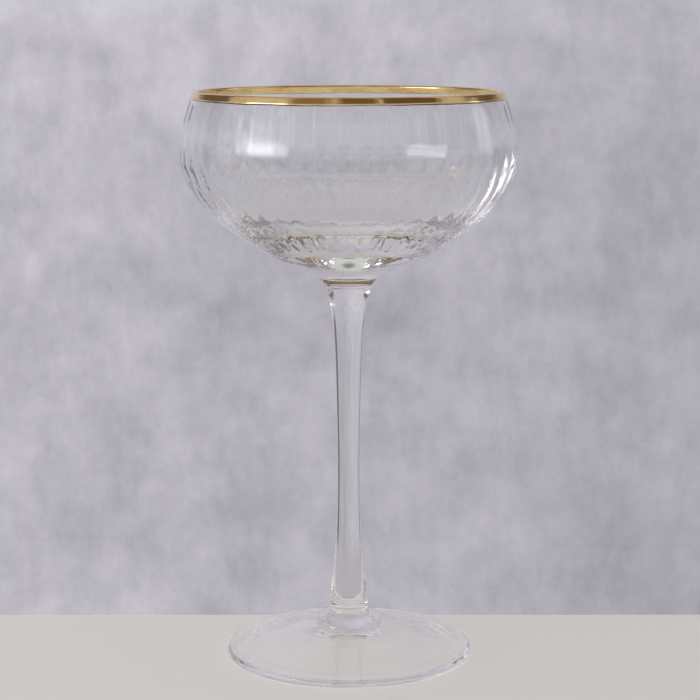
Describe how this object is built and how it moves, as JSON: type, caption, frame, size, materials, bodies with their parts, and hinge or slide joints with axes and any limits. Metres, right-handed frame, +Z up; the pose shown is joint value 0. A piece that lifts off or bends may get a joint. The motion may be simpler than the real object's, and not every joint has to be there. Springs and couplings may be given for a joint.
{
  "type": "cocktail glass",
  "caption": "Stemmed coupe cocktail glass with a wide shallow optic-ribbed bowl, a gilded rim, a slender drawn stem and a round foot.",
  "frame": {"origin": "centre of the foot's resting plane, on the glass's axis", "axes": "+Z up along the stem towards the rim; X and Y are level, and the glass is round about Z"},
  "size_m": [0.1022, 0.1022, 0.175],
  "materials": {
    "bowl_glass": "clear, fire-polished, optic ribs inside",
    "stem_glass": "clear, fire-polished",
    "foot_glass": "clear, fire-polished",
    "gilding": "bright fired gold"
  },
  "bodies": {
    "root": {"bowl": "bowl_glass", "gold_rim": "gilding", "neck_wafer": "stem_glass", "stem": "stem_glass", "foot_collar": "stem_glass", "foot": "foot_glass"}
  },
  "joints": []
}
